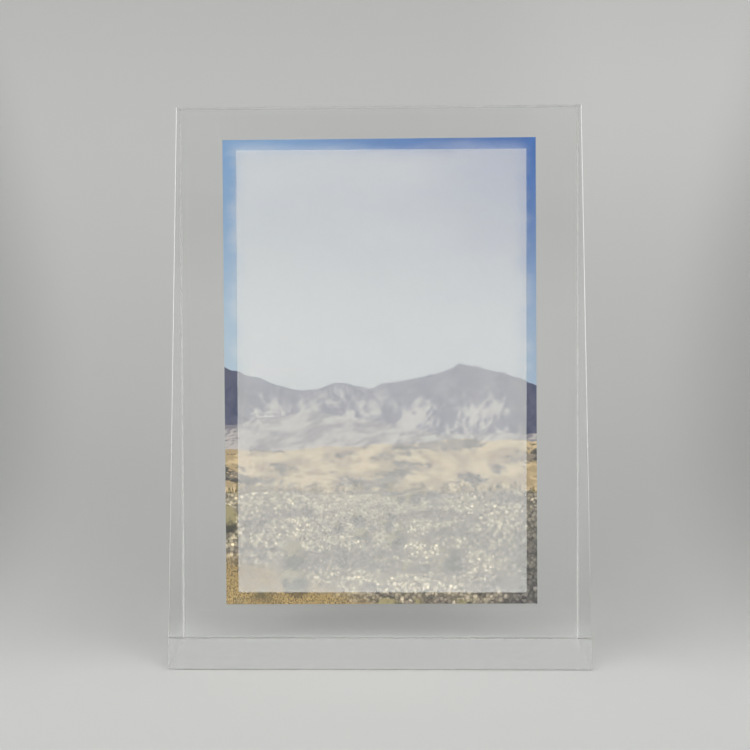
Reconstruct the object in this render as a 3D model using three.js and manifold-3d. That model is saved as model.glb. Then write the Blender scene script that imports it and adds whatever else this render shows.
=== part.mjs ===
// Photo block: a clear wedge that stands on its base and holds one print in a thin pocket near its back.
// Millimetres, +Z up. The origin is the middle of the base. -Y is the leaning front, +Y the upright back
// and +X the viewer's right.

import * as THREE from "three";
import { mergeVertices } from "three/addons/utils/BufferGeometryUtils.js";
import Module from "manifold-3d";

// The clear block: upright back, leaning front, small polished bevel on every outer edge
const BLOCK_WIDTH = 130;
const BLOCK_HEIGHT = 175;
const BASE_DEPTH = 36;
const TOP_DEPTH = 10;
const EDGE_BEVEL = 0.5;
const BACK_PLATE_THICKNESS = 4;

// The print, in a common photograph size, and the room around it in its pocket
const PRINT_WIDTH = 101.6;
const PRINT_HEIGHT = 152.4;
const PRINT_THICKNESS = 0.3;
const SIDE_CLEARANCE = 0.6;
const FACE_CLEARANCE = 0.35;
const SEAT_GAP = 0.3;
const POCKET_FLOOR_HEIGHT = 12;

// The loose print stands off centre and a touch crooked: shares of the room on each side of it
const PRINT_SHIFT_SHARE = 0.5;
const PRINT_LEAN_SHARE = 0.375;

// The translucent white panel bonded to the pocket's front wall, before the print
const PANEL_THICKNESS = 0.2;
const PANEL_INSET = 3.8;
const PANEL_LIFT = 4.45;
const PANEL_SHIFT = 0.8;

// Places that follow from the sizes
const BACK_Y = BASE_DEPTH / 2;
const FRONT_Y = -BASE_DEPTH / 2;
const POCKET_WIDTH = PRINT_WIDTH + 2 * SIDE_CLEARANCE;
const POCKET_DEPTH = PANEL_THICKNESS + PRINT_THICKNESS + 2 * FACE_CLEARANCE;
const POCKET_BACK_Y = BACK_Y - BACK_PLATE_THICKNESS;
const POCKET_FRONT_Y = POCKET_BACK_Y - POCKET_DEPTH;
const PANEL_WIDTH = PRINT_WIDTH - 2 * PANEL_INSET;
const PANEL_HEIGHT = PRINT_HEIGHT - 2 * PANEL_INSET;

const wasm = await Module();
wasm.setup();

function toSolid(geometry) {
  geometry.deleteAttribute("normal");
  geometry.deleteAttribute("uv");
  const merged = mergeVertices(geometry);
  return new wasm.Manifold(
    new wasm.Mesh({
      numProp: 3,
      vertProperties: merged.getAttribute("position").array,
      triVerts: Uint32Array.from(merged.getIndex().array),
    }),
  );
}

function toGeometry(solid) {
  const { vertProperties, triVerts } = solid.getMesh();
  const shared = new THREE.BufferGeometry();
  shared.setAttribute("position", new THREE.BufferAttribute(vertProperties, 3));
  shared.setIndex(new THREE.BufferAttribute(triVerts, 1));
  const faceted = shared.toNonIndexed();
  faceted.computeVertexNormals();
  return faceted;
}

// A box between two corners
function box([x0, y0, z0], [x1, y1, z1]) {
  const geometry = new THREE.BoxGeometry(x1 - x0, y1 - y0, z1 - z0);
  return geometry.translate((x0 + x1) / 2, (y0 + y1) / 2, (z0 + z1) / 2);
}

// A closed outline with every corner cut back by the same length along both of its sides
function bevelled(corners, bevel) {
  const points = corners.flatMap((corner, i) => {
    const before = corners.at(i - 1);
    const after = corners[(i + 1) % corners.length];
    return [before, after].map((other) => {
      const step = other.clone().sub(corner).setLength(bevel);
      return step.add(corner);
    });
  });
  return new THREE.Shape(points);
}

function rectangle(x0, y0, x1, y1) {
  return [
    new THREE.Vector2(x0, y0),
    new THREE.Vector2(x1, y0),
    new THREE.Vector2(x1, y1),
    new THREE.Vector2(x0, y1),
  ];
}

function prism(outline, length) {
  const geometry = new THREE.ExtrudeGeometry(outline, { depth: length, bevelEnabled: false });
  return geometry.translate(0, 0, -length / 2);
}

// The whole clear block: four bevelled prisms, one through each pair of faces, cut down to what they share
function clearBlock() {
  const reach = 2 * (BLOCK_HEIGHT + BASE_DEPTH);
  const halfWidth = BLOCK_WIDTH / 2;
  const lean = Math.atan2(BASE_DEPTH - TOP_DEPTH, BLOCK_HEIGHT);

  const side = [
    new THREE.Vector2(FRONT_Y, 0),
    new THREE.Vector2(BACK_Y, 0),
    new THREE.Vector2(BACK_Y, BLOCK_HEIGHT),
    new THREE.Vector2(BACK_Y - TOP_DEPTH, BLOCK_HEIGHT),
  ];
  const acrossX = prism(bevelled(side, EDGE_BEVEL), reach).rotateY(Math.PI / 2).rotateX(Math.PI / 2);

  const elevation = rectangle(-halfWidth, 0, halfWidth, BLOCK_HEIGHT);
  const acrossY = prism(bevelled(elevation, EDGE_BEVEL), reach).rotateX(Math.PI / 2);

  const backPlan = rectangle(-halfWidth, BACK_Y - reach, halfWidth, BACK_Y);
  const upTheBack = prism(bevelled(backPlan, EDGE_BEVEL), reach);

  const frontPlan = rectangle(-halfWidth, 0, halfWidth, reach);
  const upTheFront = prism(bevelled(frontPlan, EDGE_BEVEL), reach).rotateX(-lean);
  upTheFront.translate(0, FRONT_Y, 0);

  return [acrossX, acrossY, upTheBack, upTheFront]
    .map(toSolid)
    .reduce((common, next) => common.intersect(next));
}

// The block is cemented up from a front wedge, three strips that leave the pocket open at the top, and a back plate
function clearPieces() {
  const left = -BLOCK_WIDTH / 2;
  const right = BLOCK_WIDTH / 2;
  const pocketLeft = -POCKET_WIDTH / 2;
  const pocketRight = POCKET_WIDTH / 2;
  const regions = {
    front_block: [[left, FRONT_Y, 0], [right, POCKET_FRONT_Y, BLOCK_HEIGHT]],
    bottom_strip: [[left, POCKET_FRONT_Y, 0], [right, POCKET_BACK_Y, POCKET_FLOOR_HEIGHT]],
    left_strip: [[left, POCKET_FRONT_Y, POCKET_FLOOR_HEIGHT], [pocketLeft, POCKET_BACK_Y, BLOCK_HEIGHT]],
    right_strip: [[pocketRight, POCKET_FRONT_Y, POCKET_FLOOR_HEIGHT], [right, POCKET_BACK_Y, BLOCK_HEIGHT]],
    back_plate: [[left, POCKET_BACK_Y, 0], [right, BACK_Y, BLOCK_HEIGHT]],
  };
  const whole = clearBlock();
  return Object.entries(regions).map(([name, corners]) => {
    const piece = whole.intersect(toSolid(box(...corners)));
    return named(name, toGeometry(piece), clearMaterial());
  });
}

function translucentPanel() {
  const foot = POCKET_FLOOR_HEIGHT + PANEL_LIFT;
  const low = [PANEL_SHIFT - PANEL_WIDTH / 2, POCKET_FRONT_Y, foot];
  const high = [PANEL_SHIFT + PANEL_WIDTH / 2, POCKET_FRONT_Y + PANEL_THICKNESS, foot + PANEL_HEIGHT];
  const material = new THREE.MeshStandardMaterial({ color: 0xe4e2da, roughness: 0.6, metalness: 0 });
  material.transparent = true;
  material.opacity = 0.67;
  return named("translucent_panel", box(low, high), material);
}

function photoPrint() {
  const lean = Math.asin((2 * SIDE_CLEARANCE * PRINT_LEAN_SHARE) / PRINT_HEIGHT);
  const reachDown = (PRINT_HEIGHT * Math.cos(lean) + PRINT_WIDTH * Math.sin(lean)) / 2;
  const material = new THREE.MeshStandardMaterial({ color: 0x8f9db5, roughness: 0.45, metalness: 0 });
  const sheet = new THREE.BoxGeometry(PRINT_WIDTH, PRINT_THICKNESS, PRINT_HEIGHT);
  const print = named("photo_print", sheet, material);
  print.position.set(
    SIDE_CLEARANCE * PRINT_SHIFT_SHARE,
    POCKET_BACK_Y - FACE_CLEARANCE - PRINT_THICKNESS / 2,
    POCKET_FLOOR_HEIGHT + SEAT_GAP + reachDown,
  );
  print.rotation.y = -lean;
  return print;
}

function clearMaterial() {
  const material = new THREE.MeshStandardMaterial({ color: 0xeef2f1, roughness: 0.03, metalness: 0 });
  material.transparent = true;
  material.opacity = 0.25;
  return material;
}

function named(name, geometry, material) {
  const mesh = new THREE.Mesh(geometry, material);
  mesh.name = name;
  return mesh;
}

const photoBlock = new THREE.Group();
photoBlock.add(...clearPieces(), translucentPanel(), photoPrint());

export default photoBlock;
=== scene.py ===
"""Photo block: a clear wedge that holds one print in a thin pocket, behind a translucent white panel."""
import math

import bmesh
import bpy
from bpy.props import FloatProperty, FloatVectorProperty, IntProperty, PointerProperty
from bpy.types import Operator, Panel, PropertyGroup
from mathutils import Matrix, Vector


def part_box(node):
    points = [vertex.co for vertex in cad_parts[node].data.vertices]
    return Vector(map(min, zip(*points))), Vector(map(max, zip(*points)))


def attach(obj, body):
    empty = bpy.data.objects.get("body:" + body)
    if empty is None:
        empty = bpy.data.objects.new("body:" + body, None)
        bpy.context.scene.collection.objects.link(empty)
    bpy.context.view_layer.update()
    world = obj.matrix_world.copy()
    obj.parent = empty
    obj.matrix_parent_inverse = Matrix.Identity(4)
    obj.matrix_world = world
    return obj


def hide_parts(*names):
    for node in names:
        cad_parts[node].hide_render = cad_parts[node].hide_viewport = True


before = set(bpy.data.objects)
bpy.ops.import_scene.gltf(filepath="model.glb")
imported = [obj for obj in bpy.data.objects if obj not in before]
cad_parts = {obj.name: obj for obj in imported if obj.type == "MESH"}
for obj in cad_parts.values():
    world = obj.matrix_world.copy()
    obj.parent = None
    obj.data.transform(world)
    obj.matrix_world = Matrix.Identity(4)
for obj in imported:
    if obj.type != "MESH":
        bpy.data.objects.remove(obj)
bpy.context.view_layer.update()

bl_info = {
    "name": "Photo Block",
    "version": (1, 0, 0),
    "blender": (4, 5, 0),
    "location": "View3D > Sidebar > Photo Block",
    "description": "A clear wedge-shaped photo block with its print, on a plain studio stage",
    "category": "Add Mesh",
}

MM = 0.001
CLEAR_NODES = ("front_block", "bottom_strip", "left_strip", "right_strip", "back_plate")

# The bonded panel lies this far behind the pocket's front wall, so that the two faces never coincide
BOND_GAP = 0.02 * MM

# The paper lies this far under the block, so that a film of air stays below its base
AIR_UNDER_BASE = 0.3 * MM

# The camera stands where the photograph's camera stood
CAMERA_PLACE = Vector((4.146, -320.207, 109.934)) * MM
CAMERA_PAN = math.radians(0.962)
CAMERA_TILT_DOWN = math.radians(3.717)
CAMERA_ROLL = math.radians(-0.247)
SENSOR_WIDTH = 36


# Sizes read from the frame

def node_points(name):
    return [vertex.co.copy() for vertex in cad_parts[name].data.vertices]


class BlockShape:
    """The clear block's outer corners and its pocket, worked out from the CAD nodes."""

    def __init__(self):
        low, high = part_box("front_block")
        self.left, self.right = low[0], high[0]
        self.foot, self.top = low[2], high[2]
        self.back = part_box("back_plate")[1][1]
        pocket_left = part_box("left_strip")[1][0]
        pocket_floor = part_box("bottom_strip")[1][2]
        self.pocket_low = Vector((pocket_left, high[1] - BOND_GAP, pocket_floor))
        self.pocket_high = Vector((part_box("right_strip")[0][0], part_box("back_plate")[0][1], self.top))
        points = node_points("front_block")
        middle = (self.foot + self.top) / 2
        lower = min((p for p in points if p.z < middle), key=lambda p: p.y)
        upper = min((p for p in points if p.z > middle), key=lambda p: p.y)
        slope = (upper.y - lower.y) / (upper.z - lower.z)
        self.front_at_foot = lower.y + slope * (self.foot - lower.z)
        self.front_at_top = upper.y + slope * (self.top - upper.z)


class PrintShape:
    """The loose print's middle, size and lean, worked out from its CAD node."""

    def __init__(self):
        points = node_points("photo_print")
        foot_left = min(points, key=lambda p: p.x + p.z)
        top_left = max(points, key=lambda p: p.z - p.x)
        foot_right = max(points, key=lambda p: p.x - p.z)
        self.middle = sum(points, Vector()) / len(points)
        self.lean = math.atan2(foot_left.x - top_left.x, top_left.z - foot_left.z)
        self.width = (foot_right - foot_left).length
        self.height = (top_left - foot_left).length
        self.thickness = max(p.y for p in points) - min(p.y for p in points)


# Settings that a user would change

class ClearBlockSettings(PropertyGroup):
    front_bevel: FloatProperty(
        name="Front bevel", description="Width of the satin bevel on the front upright edges",
        default=0.24 * MM, min=0.1 * MM, max=2 * MM, precision=5, unit="LENGTH",
    )
    back_bevel: FloatProperty(
        name="Back bevel", description="Width of the satin bevel on the back's upright edges and foot edge",
        default=0.4 * MM, min=0.1 * MM, max=2 * MM, precision=5, unit="LENGTH",
    )
    polished_bevel: FloatProperty(
        name="Polished bevel", description="Width of the clear bevel on all the other edges",
        default=0.03 * MM, min=0.02 * MM, max=0.5 * MM, precision=5, unit="LENGTH",
    )
    bevel_segments: IntProperty(
        name="Bevel segments", description="Flats across each bevel", default=2, min=1, max=6,
    )
    refraction: FloatProperty(
        name="Refractive index", description="Refractive index of the clear acrylic",
        default=1.49, min=1.3, max=1.7,
    )
    tint: FloatVectorProperty(
        name="Tint", description="Colour that the clear acrylic lets through",
        default=(0.985, 0.988, 0.984), subtype="COLOR", min=0, max=1,
    )
    satin: FloatProperty(
        name="Satin", description="Roughness that a fully satin bevel would have",
        default=0.5, min=0, max=1, subtype="FACTOR",
    )
    whiteness: FloatProperty(
        name="Whiteness", description="Share of the light that a fully satin bevel would scatter as white",
        default=0.8, min=0, max=1, subtype="FACTOR",
    )
    base_wear: FloatProperty(
        name="Base wear", description="Share of the light that fine scratches on the base scatter as white",
        default=0.14, min=0, max=1, subtype="FACTOR",
    )


class PanelSettings(PropertyGroup):
    white: FloatVectorProperty(
        name="White", description="Colour of the translucent panel",
        default=(0.97, 0.965, 0.945), subtype="COLOR", min=0, max=1,
    )
    cover: FloatProperty(
        name="Cover", description="Share of the light that each side of the panel stops",
        default=0.245, min=0, max=1, subtype="FACTOR",
    )


class PrintSettings(PropertyGroup):
    paper: FloatVectorProperty(
        name="Paper", description="Colour of the print's back and cut edges",
        default=(0.85, 0.85, 0.83), subtype="COLOR", min=0, max=1,
    )
    gloss: FloatProperty(
        name="Gloss", description="Roughness of the picture side",
        default=0.3, min=0, max=1, subtype="FACTOR",
    )


class StageSettings(PropertyGroup):
    # The three paper colours paint the stage's light: the near floor lit, the paper darker as painted shade
    # where it begins to rise, and the upright paper between the two
    near_paper: FloatVectorProperty(
        name="Near paper", description="Colour of the floor in front of the block",
        default=(0.455, 0.458, 0.447), subtype="COLOR", min=0, max=1,
    )
    shaded_low_paper: FloatVectorProperty(
        name="Low paper", description="Colour of the paper where it begins to rise behind the block",
        default=(0.312, 0.314, 0.305), subtype="COLOR", min=0, max=1,
    )
    high_paper: FloatVectorProperty(
        name="High paper", description="Colour of the upright paper",
        default=(0.375, 0.377, 0.368), subtype="COLOR", min=0, max=1,
    )
    sweep_radius: FloatProperty(
        name="Sweep radius", description="Radius of the paper's rise from floor to wall",
        default=0.3, min=0.05, max=1, unit="LENGTH",
    )
    ambient: FloatProperty(
        name="Ambient light", description="Light that comes from every side",
        default=0.8, min=0, max=5,
    )
    side_lights: FloatProperty(
        name="Side lights", description="Extra light from the front left and the front right",
        default=2.6, min=0, max=10,
    )
    dark_room: FloatProperty(
        name="Dark room", description="Share of the light that is missing round the camera",
        default=0.98, min=0, max=1, subtype="FACTOR",
    )
    brightest_seen: FloatProperty(
        name="Brightest seen", description="Limit on the dome's brightness where it is seen, 1 being white",
        default=0.85, min=0, max=1, subtype="FACTOR",
    )
    focal_length: FloatProperty(
        name="Focal length", description="Camera focal length in millimetres on a 36 mm sensor",
        default=48.42, min=10, max=200,
    )


class PhotoBlockSettings(PropertyGroup):
    clear_block: PointerProperty(type=ClearBlockSettings)
    panel: PointerProperty(type=PanelSettings)
    photo_print: PointerProperty(type=PrintSettings)
    stage: PointerProperty(type=StageSettings)


# Objects and meshes

def add_object(name, mesh):
    obj = bpy.data.objects.new(name, mesh)
    bpy.context.scene.collection.objects.link(obj)
    return obj


def mesh_from(bm, name, smooth=False):
    mesh = bpy.data.meshes.new(name)
    bm.to_mesh(mesh)
    bm.free()
    for polygon in mesh.polygons:
        polygon.use_smooth = smooth
    return mesh


def dress(node, material):
    """Gives a carried-over CAD node its finished material."""
    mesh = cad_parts[node].data
    mesh.materials.clear()
    mesh.materials.append(material)


# Shader nodes by short calls

class Wire:
    """An output socket that does arithmetic: each sum, difference or product adds a Math node."""

    def __init__(self, painter, socket):
        self.painter = painter
        self.socket = socket

    def __add__(self, other):
        return self.painter.math("ADD", self, other)

    def __sub__(self, other):
        return self.painter.math("SUBTRACT", self, other)

    def __rsub__(self, other):
        return self.painter.math("SUBTRACT", other, self)

    def __mul__(self, other):
        return self.painter.math("MULTIPLY", self, other)


class Painter:
    """Adds nodes to one material or world. Each call gives its result back as a Wire."""

    def __init__(self, tree):
        self.tree = tree

    def feed(self, socket, value):
        if isinstance(value, Wire):
            self.tree.links.new(value.socket, socket)
        elif socket.type == "RGBA":
            socket.default_value = (*value, 1)
        else:
            socket.default_value = value

    def node(self, kind, inputs=(), output=0, **settings):
        node = self.tree.nodes.new(kind)
        for name, value in settings.items():
            setattr(node, name, value)
        for key, value in dict(inputs).items():
            self.feed(node.inputs[key], value)
        return Wire(self, node.outputs[output])

    def math(self, operation, *values):
        return self.node("ShaderNodeMath", enumerate(values), operation=operation)

    def rise(self, value, low, high):
        """0 below low and 1 above high, with a smooth change between them."""
        inputs = {"Value": value, "From Min": low, "From Max": high}
        return self.node("ShaderNodeMapRange", inputs, interpolation_type="SMOOTHSTEP")

    def brighten(self, value, span, least):
        """A share that grows from its least to 1 while the value goes through the span."""
        return self.rise(value, *span) * (1 - least) + least

    def on_object(self):
        """The place on the object, in metres."""
        return self.node("ShaderNodeTexCoord", output="Object")

    def ray(self, name):
        return self.node("ShaderNodeLightPath", output=name)

    def split(self, vector):
        node = self.tree.nodes.new("ShaderNodeSeparateXYZ")
        self.feed(node.inputs[0], vector)
        return [Wire(self, socket) for socket in node.outputs]

    def point(self, x, y, z=0.0):
        return self.node("ShaderNodeCombineXYZ", {"X": x, "Y": y, "Z": z})

    def dot(self, first, second):
        inputs = {0: first, 1: second}
        return self.node("ShaderNodeVectorMath", inputs, output="Value", operation="DOT_PRODUCT")

    def moved(self, place, shift):
        return self.node("ShaderNodeVectorMath", {0: place, 1: shift}, operation="ADD")

    def noise(self, place, scale, detail=4.0, roughness=0.5):
        inputs = {"Vector": place, "Scale": scale, "Detail": detail, "Roughness": roughness}
        return self.node("ShaderNodeTexNoise", inputs, output="Fac")

    def cells(self, place, scale, output="Distance"):
        return self.node("ShaderNodeTexVoronoi", {"Vector": place, "Scale": scale}, output=output)

    def mix(self, share, first, second):
        inputs = {0: share, 6: first, 7: second}
        return self.node("ShaderNodeMix", inputs, output=2, data_type="RGBA")

    def shade(self, colour, amount):
        """The colour made darker below an amount of 1 and lighter above it."""
        grey = self.point(amount, amount, amount)
        inputs = {0: 1.0, 6: colour, 7: grey}
        return self.node("ShaderNodeMix", inputs, output=2, data_type="RGBA", blend_type="MULTIPLY")

    def blend_surface(self, material, share, shader, other):
        """Gives the material's surface a share of another shader."""
        inputs = {0: share, 1: Wire(self, shader.outputs[0]), 2: other}
        surface = self.node("ShaderNodeMixShader", inputs)
        self.feed(material.node_tree.nodes["Material Output"].inputs["Surface"], surface)


def new_material(name):
    material = bpy.data.materials.new(name)
    material.use_nodes = True
    return material, material.node_tree.nodes["Principled BSDF"], Painter(material.node_tree)


# The clear block

UPRIGHT_SHARE = 0.5
UNBEVELLED_ANGLE = math.radians(60)

# A face whose normal has less than this depth is one of the pocket's sides, its floor or its mouth
SIDEWAYS_NORMAL = 0.5
UPWARD_NORMAL = 0.99

# No two points of the block lie equally far along this slanting line
SORTING_AXIS = Vector((1.0, 7.3, 53.9))

# The block's materials by their place in its list
POLISHED_SLOT = 0
SATIN_SLOT = 1
WORN_SLOT = 2
JOINED_SLOT = 3

# The back bevels lie within this depth of the back face
BACK_BEVEL_REACH = 1.5 * MM

# How satin the bevels are, from 0 for clear to 1 for fully satin
BACK_SATIN = 0.4

# The front bevels are nearly clear below the first height and satin above the second,
# so they are painted whiter high up and dimmer low down, as painted light falling from above.
# Both are shares of the block's height.
FRONT_SATIN_HEIGHTS = (0.05, 0.6)
FRONT_SATIN_LEAST = 0.05
FRONT_SATIN_GAIN = 0.75
SCRAPED_COLOURS = ((0.85, 0.86, 0.85), (1.0, 1.0, 1.0))
GLOW_COLOUR = (0.95, 0.95, 0.94)
GLOW_SHARE = 0.55
GLOW_UNEVENNESS = 0.3

WAVE_DEPTH = 0.015 * MM
WAVE_STRENGTH = 0.1
SCRATCH_ROUGHNESS = 0.01
WETTED_REFRACTION = 1.0
CLEAR_COLOUR = (1.0, 1.0, 1.0)


def wedge(shape):
    """The block's six flat faces: a cube whose corners go to the wedge's corners."""
    bm = bmesh.new()
    bmesh.ops.create_cube(bm, size=1)
    for vert in bm.verts:
        high = vert.co.z > 0
        front = shape.front_at_top if high else shape.front_at_foot
        vert.co = (
            shape.right if vert.co.x > 0 else shape.left,
            shape.back if vert.co.y > 0 else front,
            shape.top if high else shape.foot,
        )
    bm.normal_update()
    return bm


def scraped_edges(bm, shape):
    """The two upright edges at the front, and the back's two upright edges with its foot edge."""
    front, back = [], []
    for edge in bm.edges:
        first, second = (vert.co for vert in edge.verts)
        at_back = min(first.y, second.y) > shape.front_at_top
        upright = abs(first.z - second.z) > UPRIGHT_SHARE * (shape.top - shape.foot)
        along_foot = max(first.z, second.z) < (shape.top + shape.foot) / 2
        if at_back and (upright or along_foot):
            back.append(edge)
        elif upright:
            front.append(edge)
    return front, back


def bevel_edges(bm, edges, width, segments, slot):
    bmesh.ops.bevel(
        bm, geom=edges, offset=width, offset_type="OFFSET", segments=segments,
        profile=0.5, affect="EDGES", material=slot, clamp_overlap=True,
    )
    bm.normal_update()


def open_pocket(bm, shape):
    """A box turned inside out, with its mouth joined to the top face."""
    upward = [face for face in bm.faces if face.normal.z > UPWARD_NORMAL]
    top = max(upward, key=lambda face: face.calc_area())
    rim = top.edges[:]
    low, high = shape.pocket_low, shape.pocket_high
    place = Matrix.Translation((low + high) / 2) @ Matrix.Diagonal((*(high - low), 1))
    corners = bmesh.ops.create_cube(bm, size=1, matrix=place)["verts"]
    walls = list(dict.fromkeys(face for corner in corners for face in corner.link_faces))
    bmesh.ops.reverse_faces(bm, faces=walls)
    bm.normal_update()
    for face in walls:
        if abs(face.normal.y) < SIDEWAYS_NORMAL:
            face.material_index = JOINED_SLOT
    mouth = max(walls, key=lambda face: face.calc_center_median().z)
    rim += mouth.edges[:]
    bmesh.ops.delete(bm, geom=[top, mouth], context="FACES_ONLY")
    bmesh.ops.triangle_fill(bm, use_beauty=True, edges=rim, normal=(0, 0, 1))


def sort_by_place(bm):
    """Orders points and faces by their places, because bevelling gives them another order on each run."""
    bm.verts.sort(key=lambda vert: vert.co.dot(SORTING_AXIS))
    bm.faces.sort(key=lambda face: face.calc_center_median().dot(SORTING_AXIS))


def clear_block_mesh(shape, settings):
    bm = wedge(shape)
    front, back = scraped_edges(bm, shape)
    bevel_edges(bm, back, settings.back_bevel, settings.bevel_segments, SATIN_SLOT)
    front = [edge for edge in front if edge.is_valid]
    bevel_edges(bm, front, settings.front_bevel, settings.bevel_segments, SATIN_SLOT)
    sharp = [edge for edge in bm.edges if edge.calc_face_angle() > UNBEVELLED_ANGLE]
    bevel_edges(bm, sharp, settings.polished_bevel, settings.bevel_segments, POLISHED_SLOT)
    base = min(bm.faces, key=lambda face: face.normal.z * face.calc_area())
    base.material_index = WORN_SLOT
    open_pocket(bm, shape)
    open_edges = [edge for edge in bm.edges if not edge.is_manifold or not edge.is_contiguous]
    if open_edges:
        raise RuntimeError(f"the clear block has {len(open_edges)} open or folded edges")
    sort_by_place(bm)
    return mesh_from(bm, "clear_block")


def polished_acrylic(settings):
    """Clear faces that keep a very slight waviness from the polishing wheel."""
    material, shader, paint = new_material("polished_acrylic")
    shader.inputs["Base Color"].default_value = (*settings.tint, 1)
    shader.inputs["Roughness"].default_value = 0.0
    shader.inputs["IOR"].default_value = settings.refraction
    shader.inputs["Transmission Weight"].default_value = 1.0
    waves = paint.noise(paint.on_object(), 30.0, detail=2.0)
    bump = {"Strength": WAVE_STRENGTH, "Distance": WAVE_DEPTH, "Height": waves}
    paint.feed(shader.inputs["Normal"], paint.node("ShaderNodeBump", bump))
    return material


def scraped_acrylic(settings, shape):
    """The bevels as the scraper left them, satin with fine marks; at the front the satin fades out towards
    the foot, as painted shade for light that falls from above.
    """
    material, shader, paint = new_material("scraped_acrylic")
    place = paint.on_object()
    _, depth, height = paint.split(place)
    tall = shape.top - shape.foot
    painted_shade_height, painted_light_height = (shape.foot + share * tall for share in FRONT_SATIN_HEIGHTS)
    at_back = paint.math("GREATER_THAN", depth, shape.back - BACK_BEVEL_REACH)
    at_front = 1.0 - at_back
    # Painted light and shade: the front bevels turn whiter towards the top and clearer towards the foot
    front_satin_and_painted_light = paint.rise(height, painted_shade_height, painted_light_height) * FRONT_SATIN_GAIN + FRONT_SATIN_LEAST
    marks = paint.noise(place, 900.0, detail=3.0)
    satin = (at_back * BACK_SATIN + at_front * front_satin_and_painted_light) * (marks * 0.4 + 0.8)
    paint.feed(shader.inputs["Base Color"], paint.mix(marks, *SCRAPED_COLOURS))
    paint.feed(shader.inputs["Roughness"], satin * settings.satin)
    paint.feed(shader.inputs["Transmission Weight"], 1.0 - satin * settings.whiteness)
    shader.inputs["IOR"].default_value = settings.refraction
    # Seen through the block, the back's satin glows with the light that falls on it from outside
    glow = paint.node("ShaderNodeBsdfTranslucent", {"Color": GLOW_COLOUR})
    paint.blend_surface(material, at_back * (marks * GLOW_UNEVENNESS + GLOW_SHARE), shader, glow)
    return material


def worn_acrylic(settings):
    """The base, slightly clouded by fine scratches from the tables it stood on."""
    material, shader, paint = new_material("worn_acrylic")
    scratches = paint.noise(paint.on_object(), 250.0, detail=5.0, roughness=0.7)
    shader.inputs["Base Color"].default_value = (*settings.tint, 1)
    paint.feed(shader.inputs["Roughness"], scratches * SCRATCH_ROUGHNESS)
    paint.feed(shader.inputs["Transmission Weight"], 1.0 - (scratches * 0.4 + 0.8) * settings.base_wear)
    shader.inputs["IOR"].default_value = settings.refraction
    return material


def joined_acrylic(settings):
    """The pocket's sides and floor, which cement wets so that they bend no light."""
    material, shader, paint = new_material("joined_acrylic")
    flow = paint.noise(paint.on_object(), 120.0, detail=2.0)
    paint.feed(shader.inputs["Base Color"], paint.mix(flow, settings.tint, CLEAR_COLOUR))
    shader.inputs["Roughness"].default_value = 0.0
    shader.inputs["IOR"].default_value = WETTED_REFRACTION
    shader.inputs["Transmission Weight"].default_value = 1.0
    return material


class PHOTOBLOCK_OT_clear_block(Operator):
    """Model the cemented clear block, with its bevels and the open pocket"""
    bl_idname = "photo_block.clear_block"
    bl_label = "Clear Block"

    def execute(self, context):
        settings = context.scene.photo_block.clear_block
        shape = BlockShape()
        block = add_object("clear_block", clear_block_mesh(shape, settings))
        block.data.materials.append(polished_acrylic(settings))
        block.data.materials.append(scraped_acrylic(settings, shape))
        block.data.materials.append(worn_acrylic(settings))
        block.data.materials.append(joined_acrylic(settings))
        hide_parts(*CLEAR_NODES)
        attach(block, "block")
        return {"FINISHED"}


# The translucent panel

THINNEST_WHITE = 0.97
FILM_ROUGHNESS = 0.55


class PHOTOBLOCK_OT_translucent_panel(Operator):
    """Finish the translucent white panel before the print"""
    bl_idname = "photo_block.translucent_panel"
    bl_label = "Translucent Panel"

    def execute(self, context):
        settings = context.scene.photo_block.panel
        material, shader, paint = new_material("white_film")
        clouding = paint.noise(paint.on_object(), 60.0, detail=5.0)
        thin_white = tuple(THINNEST_WHITE * part for part in settings.white)
        paint.feed(shader.inputs["Base Color"], paint.mix(clouding, thin_white, settings.white))
        shader.inputs["Roughness"].default_value = FILM_ROUGHNESS
        shader.inputs["Alpha"].default_value = settings.cover
        dress("translucent_panel", material)
        return {"FINISHED"}


# The picture: a made-up desert view, drawn in millimetres across and up from the print's lower edge.
# The bare numbers in its layers are places, noise scales and shares.

SKY_FOOT = 72.0
SKY_TOP = 152.0
FAR_CREST = 61.0
NEAR_CREST = 52.5
FOOTHILL_CREST = 47.5
BUSH_LINE = 36.0
PLAIN_EDGE = 35.0
EYE_LEVEL = 60.0
SOFT_EDGE = 0.25
STONES = 55.0
BUSHES = 5.0

# Single colours, and pairs from the low sky to the high or from the shaded side to the lit one
SKY_LEFT = ((0.42, 0.535, 0.63), (0.22, 0.37, 0.6))
SKY_RIGHT = ((0.33, 0.44, 0.57), (0.055, 0.16, 0.45))
CLOUD = (0.7, 0.71, 0.72)
SLATE = ((0.04, 0.065, 0.165), (0.115, 0.125, 0.23))
SUNLIT_SLATE = (0.54, 0.5, 0.49)
MAUVE_ROCK = ((0.2, 0.19, 0.22), (0.52, 0.48, 0.46))
PALE_SAND = ((0.42, 0.31, 0.16), (0.7, 0.54, 0.3))
DARK_ROCK = ((0.05, 0.045, 0.035), (0.24, 0.2, 0.15))
FAR_LEAVES = ((0.08, 0.065, 0.03), (0.38, 0.28, 0.1))
PLAIN_SAND = ((0.24, 0.2, 0.15), (0.54, 0.46, 0.31))
RUBBLE = (0.12, 0.113, 0.105)
DRY_GRASS = ((0.12, 0.08, 0.03), (0.5, 0.35, 0.13))
DRY_BUSH = ((0.04, 0.04, 0.02), (0.34, 0.29, 0.14))


def tent(paint, across, middle, half_width, height):
    """A straight-sided hill: its height falls evenly to 0 at half_width from the middle."""
    away = paint.math("ABSOLUTE", across - middle)
    return paint.math("MAXIMUM", height - away * (height / half_width), 0.0)


def relief(paint, place, scale, reach):
    """How strongly a rough surface turns to a light at the upper left, about 0.5 where it is level."""
    here = paint.noise(place, scale, detail=7.0, roughness=0.6)
    beside = paint.moved(place, (-reach, 0.7 * reach, 0.0))
    return here - paint.noise(beside, scale, detail=7.0, roughness=0.6) + 0.5


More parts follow.
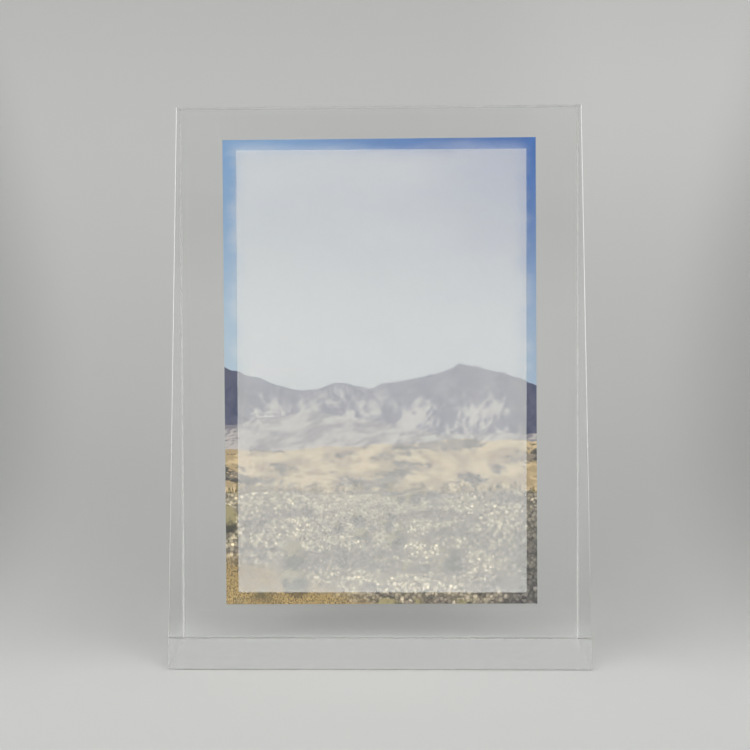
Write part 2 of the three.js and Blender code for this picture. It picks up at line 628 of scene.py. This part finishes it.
def sky(paint, across, height):
    """Deep blue at the upper right, paler to the left and down, with thin high cloud over the middle."""
    upness = paint.rise(height, SKY_FOOT, SKY_TOP)
    left = paint.mix(upness, *SKY_LEFT)
    right = paint.mix(upness, *SKY_RIGHT)
    clear = paint.mix(paint.rise(across, -50.0, 42.0), left, right)
    streaks = paint.noise(paint.point(across * 0.011, height * 0.05, 4.0), 2.2, detail=6.0, roughness=0.6)
    ragged = (streaks - 0.5) * 12.0
    middle = paint.rise(paint.math("ABSOLUTE", across) + ragged, 50.0, 43.0)
    below_top = paint.brighten(height + ragged, (153.0, 145.0), 0.05)
    corner = paint.rise(across, 5.0, 50.0) * paint.rise(height, 90.0, 145.0)
    veil = middle * below_top * (streaks * 0.5 + 0.45) * (1.0 - corner * 0.4)
    return paint.mix(veil, clear, CLOUD)


def far_range(paint, across, height):
    """The high slate-blue range, sunlit low down: its colour and where its crest stands."""
    jags = paint.noise(paint.point(across * 0.05, 3.0), 1.6, detail=8.0, roughness=0.55)
    shoulder = tent(paint, across, -58.0, 46.0, 15.0)
    peak = tent(paint, across, 26.0, 50.0, 13.0)
    low_peak = tent(paint, across, -14.0, 30.0, 8.0)
    hills = paint.math("MAXIMUM", paint.math("MAXIMUM", shoulder, peak), low_peak)
    crest = hills + jags * 9.0 + FAR_CREST
    slant = paint.point(across * 0.05 + height * 0.03, height * 0.05 - across * 0.02, 7.0)
    facing = relief(paint, slant, 1.6, 0.3) * 0.55 + relief(paint, slant, 6.0, 0.05) * 0.45
    stone = paint.mix(paint.rise(facing, 0.4, 0.6), *SLATE)
    low = paint.rise(height, 78.0, 62.0)
    inner = paint.rise(paint.math("ABSOLUTE", across), 48.0, 40.0)
    sunlit = paint.rise(facing + low * 0.1, 0.54, 0.68) * low * inner
    stone = paint.shade(stone, inner * 0.35 + 0.65)
    return paint.mix(sunlit, stone, SUNLIT_SLATE), crest


def near_range(paint, across, height):
    """The low mauve slopes before the high range."""
    jags = paint.noise(paint.point(across * 0.04, 11.0), 2.0, detail=7.0)
    crest = tent(paint, across, -24.0, 44.0, 8.0) + jags * 7.0 + NEAR_CREST
    slant = paint.point(across * 0.05 - height * 0.04, height * 0.1, 5.0)
    facing = relief(paint, slant, 2.0, 0.25) * 0.6 + relief(paint, slant, 7.0, 0.05) * 0.4
    return paint.mix(paint.rise(facing, 0.42, 0.58), *MAUVE_ROCK), crest


def foothills(paint, across, height):
    """Pale sandy terraces at the foot of the slopes, with outcrops of dark rock."""
    swells = paint.noise(paint.point(across * 0.03, 21.0), 1.8, detail=5.0)
    crest = tent(paint, across, 30.0, 60.0, 4.0) + swells * 6.0 + FOOTHILL_CREST
    folds = relief(paint, paint.point(across * 0.05, height * 0.11, 9.0), 2.2, 0.25)
    sand = paint.mix(paint.rise(folds, 0.4, 0.6), *PALE_SAND)
    crags = paint.point(across * 0.2 + height * 0.12, height * 0.4 - across * 0.05, 2.0)
    specks = paint.noise(crags, 2.0, detail=6.0, roughness=0.7)
    groups = paint.noise(paint.point(across * 0.035, height * 0.08, 6.0), 2.0, detail=2.0)
    rock = paint.mix(paint.rise(folds, 0.45, 0.6), *DARK_ROCK)
    return paint.mix(paint.rise(specks + (groups - 0.5) * 1.1, 0.55, 0.6), sand, rock), crest


def far_bushes(paint, across, height):
    """A broken line of bushes where the plain begins."""
    tufts = paint.noise(paint.point(across * 0.1, 41.0), 2.0, detail=6.0, roughness=0.65)
    leaves = paint.noise(paint.point(across * 0.4, height * 0.5, 12.0), 2.0, detail=5.0, roughness=0.7)
    crest = paint.rise(tufts, 0.4, 0.62) * 5.0 + BUSH_LINE
    return paint.mix(paint.rise(leaves, 0.42, 0.6), *FAR_LEAVES), crest


def plain(paint, across, height):
    """Sandy ground with stones that grow towards the eye, dry grass in the corner, and bushes."""
    crest = paint.noise(paint.point(across * 0.1, 31.0), 1.5, detail=6.0) * 4.0 + PLAIN_EDGE
    below = EYE_LEVEL - height
    away = paint.math("SQRT", across * across + below * below)
    spot = paint.point(paint.math("ARCTAN2", across, below), paint.math("LOGARITHM", away, math.e))
    patches = paint.noise(paint.point(across * 0.03, height * 0.13, 3.0), 1.5, detail=6.0, roughness=0.6)
    sand = paint.mix(paint.rise(patches, 0.42, 0.58), *PLAIN_SAND)
    rubble = paint.rise(across * 0.06 - height * 0.02 + patches, 2.4, 3.2)
    ground = paint.mix(rubble * 0.85, sand, RUBBLE)
    tone, shine, _ = paint.split(paint.cells(spot, STONES, output="Color"))
    gaps = paint.rise(paint.cells(spot, STONES), 0.4, 0.7)
    grain = paint.noise(spot, 60.0, detail=4.0, roughness=0.75)
    stones = tone * 1.1 + paint.rise(shine, 0.8, 1.0) * 1.3 + grain * 1.4 - 0.35
    ground = paint.shade(ground, stones * (1.0 - gaps * 0.5))
    corner = paint.rise(across + height * 3.0 - patches * 30.0, -6.0, -30.0)
    blades = paint.noise(paint.point(across * 1.8 + height * 0.4, height * 0.9, 8.0), 1.6, detail=5.0)
    grass = paint.mix(paint.rise(blades, 0.38, 0.6), *DRY_GRASS)
    return scrub(paint, paint.mix(corner, ground, grass), spot), crest


def scrub(paint, ground, spot):
    """Rounded clumps of dry bush with shadows, each lit from the upper left."""
    scattered = paint.rise(paint.noise(spot, 2.6, detail=2.0), 0.48, 0.53)
    ragged = paint.noise(spot, 22.0, detail=5.0, roughness=0.75)
    reach = paint.cells(spot, BUSHES)
    upper_left = paint.cells(paint.moved(spot, (-0.03, -0.03, 0.0)), BUSHES)
    shadow = paint.rise(upper_left + ragged * 0.3, 0.6, 0.5) * scattered
    clump = paint.rise(reach + ragged * 0.4, 0.6, 0.56) * scattered
    lit = paint.rise(upper_left - reach + ragged, 0.44, 0.66)
    bush = paint.mix(lit, *DRY_BUSH)
    return paint.mix(clump, paint.shade(ground, 1.0 - shadow * 0.6), bush)


def picture(paint, across, height):
    """All layers of the view, from the sky to the ground."""
    view = sky(paint, across, height)
    for layer in (far_range, near_range, foothills, far_bushes, plain):
        colour, crest = layer(paint, across, height)
        view = paint.mix(paint.rise(crest - height, 0.0, SOFT_EDGE), view, colour)
    return view


# The picture ends this far before the print's middle, as a share of the print's thickness
PICTURE_DEPTH = 0.45
BACK_ROUGHNESS = 0.4
FIBRE_ROUGHNESS = 0.1


class PHOTOBLOCK_OT_photo_print(Operator):
    """Finish the loose print: a made-up desert view on white photo paper"""
    bl_idname = "photo_block.photo_print"
    bl_label = "Photo Print"

    def execute(self, context):
        settings = context.scene.photo_block.photo_print
        shape = PrintShape()
        material, shader, paint = new_material("photo_paper")
        upright = {
            "Vector": paint.on_object(),
            "Location": shape.middle,
            "Rotation": (0, -shape.lean, 0),
            "Scale": (MM, MM, MM),
        }
        centred = paint.node("ShaderNodeMapping", upright, vector_type="TEXTURE")
        across, through, up = paint.split(centred)
        view = picture(paint, across, up + shape.height / MM / 2)
        on_paper = paint.math("GREATER_THAN", through, -PICTURE_DEPTH * shape.thickness / MM)
        colour = paint.mix(on_paper, view, settings.paper)
        fibres = paint.noise(centred, 4.0, detail=4.0)
        roughness = on_paper * BACK_ROUGHNESS + fibres * FIBRE_ROUGHNESS + settings.gloss
        paint.feed(shader.inputs["Base Color"], colour)
        paint.feed(shader.inputs["Roughness"], roughness)
        dress("photo_print", material)
        return {"FINISHED"}


# The stage, in metres

SWEEP_STEPS = 32
FLOOR_FRONT = -4.0
FLOOR_REAR = 4.0
WALL_TOP = 1.6
HALF_WIDTH = 1.4

# Each pair says where the paper's tone starts and stops changing.
# The floor's pair is measured from the block's back.
# These changes are painted light and shade on the paper: shade where it begins to rise, at both sides and far
# in front, and light at the upper right.
FLOOR_FADE = (-0.073, 0.16)
WALL_FADE = (0.05, 0.3)
# Painted shade at both sides of the paper
SIDE_FADE = (0.19, 0.12)
SIDE_FADE_SLANT = 0.36
SIDE_PAINTED_SHADE = 0.75
FADE_CENTRE = 0.008
# Painted shade far in front, where the floor darkens as if the light fell off
FRONT_FADE = (-2.2, -0.8)
FRONT_PAINTED_SHADE = 0.55
# Painted light that brightens the upper right of the paper
BRIGHT_RIGHT = (0.04, 0.14)
BRIGHT_TOP = (0.12, 0.26)
PAINTED_LIGHT_GAIN = 0.08
PAPER_ROUGHNESS = 0.9
PAPER_SPECULAR = 0.2

# A face of the floor that points down has a normal below this height
DOWNWARD_NORMAL = -0.5


def backdrop_mesh(start, radius):
    """A paper sweep: flat floor up to start, a quarter round, then an upright wall, and a floor behind it."""
    bm = bmesh.new()
    level = -AIR_UNDER_BASE
    profile = [Vector((-HALF_WIDTH, FLOOR_FRONT, level)), Vector((-HALF_WIDTH, start, level))]
    for step in range(1, SWEEP_STEPS + 1):
        angle = math.pi / 2 * step / SWEEP_STEPS
        rise = radius * (1 - math.cos(angle))
        profile.append(Vector((-HALF_WIDTH, start + radius * math.sin(angle), level + rise)))
    profile.append(Vector((-HALF_WIDTH, start + radius, WALL_TOP)))
    verts = [bm.verts.new(point) for point in profile]
    edges = [bm.edges.new(pair) for pair in zip(verts, verts[1:])]
    made = bmesh.ops.extrude_edge_only(bm, edges=edges)["geom"]
    moved = [item for item in made if isinstance(item, bmesh.types.BMVert)]
    bmesh.ops.translate(bm, verts=moved, vec=(2 * HALF_WIDTH, 0, 0))
    bm.normal_update()
    if min(face.normal.z for face in bm.faces) < DOWNWARD_NORMAL:
        bmesh.ops.reverse_faces(bm, faces=bm.faces[:])
    middle = Matrix.Translation((0, (start + FLOOR_REAR) / 2, 2 * level))
    size = Matrix.Diagonal((HALF_WIDTH, (FLOOR_REAR - start) / 2, 1, 1))
    bmesh.ops.create_grid(bm, x_segments=1, y_segments=1, size=1, matrix=middle @ size)
    return mesh_from(bm, "backdrop", smooth=True)


def sweep_paper(settings, start):
    """Pale paper that follows the sweep, with painted shade where it begins to rise, at both sides and far in
    front, painted light at the upper right, and clear when seen from behind.
    """
    material, shader, paint = new_material("paper")
    sideways, depth, height = paint.split(paint.on_object())
    # Painted light and shade: the floor in front is lighter and the paper is darker where it begins to rise
    from_front = paint.rise(depth, start + FLOOR_FADE[0], start + FLOOR_FADE[1])
    lower = paint.mix(from_front, settings.near_paper, settings.shaded_low_paper)
    tone = paint.mix(paint.rise(height, *WALL_FADE), lower, settings.high_paper)
    # Painted shade that darkens the paper towards both sides
    aside = paint.math("ABSOLUTE", sideways + FADE_CENTRE) - height * SIDE_FADE_SLANT
    painted_side_shade = paint.brighten(aside, SIDE_FADE, SIDE_PAINTED_SHADE)
    # Painted shade that darkens the floor far in front
    painted_front_shade = paint.brighten(depth, FRONT_FADE, FRONT_PAINTED_SHADE)
    # Painted light on the upright paper at the upper right
    painted_upper_right_light = paint.rise(sideways, *BRIGHT_RIGHT) * paint.rise(height, *BRIGHT_TOP)
    # All of the paper's painted light and shade, multiplied into its tone
    painted_light_and_shade = painted_side_shade * painted_front_shade * (painted_upper_right_light * PAINTED_LIGHT_GAIN + 1.0)
    paint.feed(shader.inputs["Base Color"], paint.shade(tone, painted_light_and_shade))
    shader.inputs["Roughness"].default_value = PAPER_ROUGHNESS
    shader.inputs["Specular IOR Level"].default_value = PAPER_SPECULAR
    behind = paint.node("ShaderNodeNewGeometry", output="Backfacing")
    paint.blend_surface(material, behind, shader, paint.node("ShaderNodeBsdfTransparent"))
    return material


# Directions seen from the block: the right soft light, mirrored for the left one, and the dark room
SIDE_LIGHT = Vector((0.72, -0.58, 0.38)).normalized()
SIDE_LIGHT_FOCUS = 4.0
DARK_ROOM = Vector((0, -0.96, 0.28)).normalized()
DARK_ROOM_INSIDE = math.cos(math.radians(14))
DARK_ROOM_OUTSIDE = math.cos(math.radians(37))
PALE_BAND_FOOT = (-0.03, math.sin(math.radians(10)))
PALE_BAND_TOP = (math.sin(math.radians(22)), math.sin(math.radians(14)))
PALE_BAND_LEAST = 0.4
PALE_BAND_LIGHT = 0.65

# A ray whose diffuse depth is above this comes from a surface that it lights
HALF_A_BOUNCE = 0.5

# The camera sees nothing nearer than this, in metres
NEAREST_SEEN = 0.01


def studio_world(settings):
    """A smooth dome of light: bright at both front sides, dark round the camera but for a pale band."""
    world = bpy.data.worlds.new("studio")
    world.use_nodes = True
    paint = Painter(world.node_tree)
    direction = paint.node("ShaderNodeTexCoord", output="Generated")
    sideways, depth, height = paint.split(direction)
    folded = paint.point(paint.math("ABSOLUTE", sideways), depth, height)
    facing = paint.math("MAXIMUM", paint.dot(folded, SIDE_LIGHT), 0.0)
    lights = paint.math("POWER", facing, SIDE_LIGHT_FOCUS) * settings.side_lights
    room = paint.rise(paint.dot(direction, DARK_ROOM), DARK_ROOM_OUTSIDE, DARK_ROOM_INSIDE)
    band = paint.brighten(height, PALE_BAND_FOOT, PALE_BAND_LEAST) * paint.rise(height, *PALE_BAND_TOP)
    darkness = 1.0 - band * PALE_BAND_LIGHT
    strength = (lights + settings.ambient) * (1.0 - room * darkness * settings.dark_room)
    # Seen directly, in a mirror or through glass, the dome is pale and never brighter than white
    seen = paint.ray("Is Camera Ray")
    for kind in ("Is Glossy Ray", "Is Transmission Ray"):
        seen = paint.math("MAXIMUM", seen, paint.ray(kind))
    lights_something = paint.math("GREATER_THAN", paint.ray("Diffuse Depth"), HALF_A_BOUNCE)
    seen = seen * (1.0 - lights_something)
    excess = paint.math("MAXIMUM", strength - settings.brightest_seen, 0.0)
    background = world.node_tree.nodes["Background"]
    background.inputs["Color"].default_value = (1, 1, 1, 1)
    paint.feed(background.inputs["Strength"], strength - seen * excess)
    return world


def photo_camera(settings):
    data = bpy.data.cameras.new("camera")
    data.lens = settings.focal_length
    data.sensor_width = SENSOR_WIDTH
    data.clip_start = NEAREST_SEEN
    camera = bpy.data.objects.new("camera", data)
    turn = (
        Matrix.Rotation(CAMERA_PAN, 4, "Z")
        @ Matrix.Rotation(math.pi / 2 - CAMERA_TILT_DOWN, 4, "X")
        @ Matrix.Rotation(CAMERA_ROLL, 4, "Z")
    )
    camera.matrix_world = Matrix.Translation(CAMERA_PLACE) @ turn
    return camera


class PHOTOBLOCK_OT_stage(Operator):
    """Set up the pale paper sweep, the soft light and the camera"""
    bl_idname = "photo_block.stage"
    bl_label = "Studio Stage"

    def execute(self, context):
        scene = context.scene
        settings = scene.photo_block.stage
        start = BlockShape().back
        sweep = add_object("backdrop", backdrop_mesh(start, settings.sweep_radius))
        sweep.data.materials.append(sweep_paper(settings, start))
        scene.world = studio_world(settings)
        camera = photo_camera(settings)
        scene.collection.objects.link(camera)
        scene.camera = camera
        scene.view_settings.view_transform = "Standard"
        # The print is lit only through clear acrylic, which stays sharp for that light too
        scene.cycles.blur_glossy = 0
        return {"FINISHED"}


# The sidebar and the registration

OPERATORS = (
    PHOTOBLOCK_OT_stage,
    PHOTOBLOCK_OT_clear_block,
    PHOTOBLOCK_OT_translucent_panel,
    PHOTOBLOCK_OT_photo_print,
)


class PHOTOBLOCK_PT_sidebar(Panel):
    bl_label = "Photo Block"
    bl_idname = "PHOTOBLOCK_PT_sidebar"
    bl_space_type = "VIEW_3D"
    bl_region_type = "UI"
    bl_category = "Photo Block"

    def draw(self, context):
        settings = context.scene.photo_block
        for group in (settings.clear_block, settings.panel, settings.photo_print, settings.stage):
            box = self.layout.box()
            for name in group.bl_rna.properties.keys():
                if name not in {"rna_type", "name"}:
                    box.prop(group, name)
        for operator in OPERATORS:
            self.layout.operator(operator.bl_idname)


CLASSES = (
    ClearBlockSettings,
    PanelSettings,
    PrintSettings,
    StageSettings,
    PhotoBlockSettings,
    *OPERATORS,
    PHOTOBLOCK_PT_sidebar,
)


def register():
    for cls in CLASSES:
        bpy.utils.register_class(cls)
    bpy.types.Scene.photo_block = PointerProperty(type=PhotoBlockSettings)


def unregister():
    del bpy.types.Scene.photo_block
    for cls in reversed(CLASSES):
        bpy.utils.unregister_class(cls)


def main():
    register()
    bpy.ops.photo_block.stage()
    bpy.ops.photo_block.clear_block()
    bpy.ops.photo_block.translucent_panel()
    bpy.ops.photo_block.photo_print()


if __name__ == "__main__":
    main()
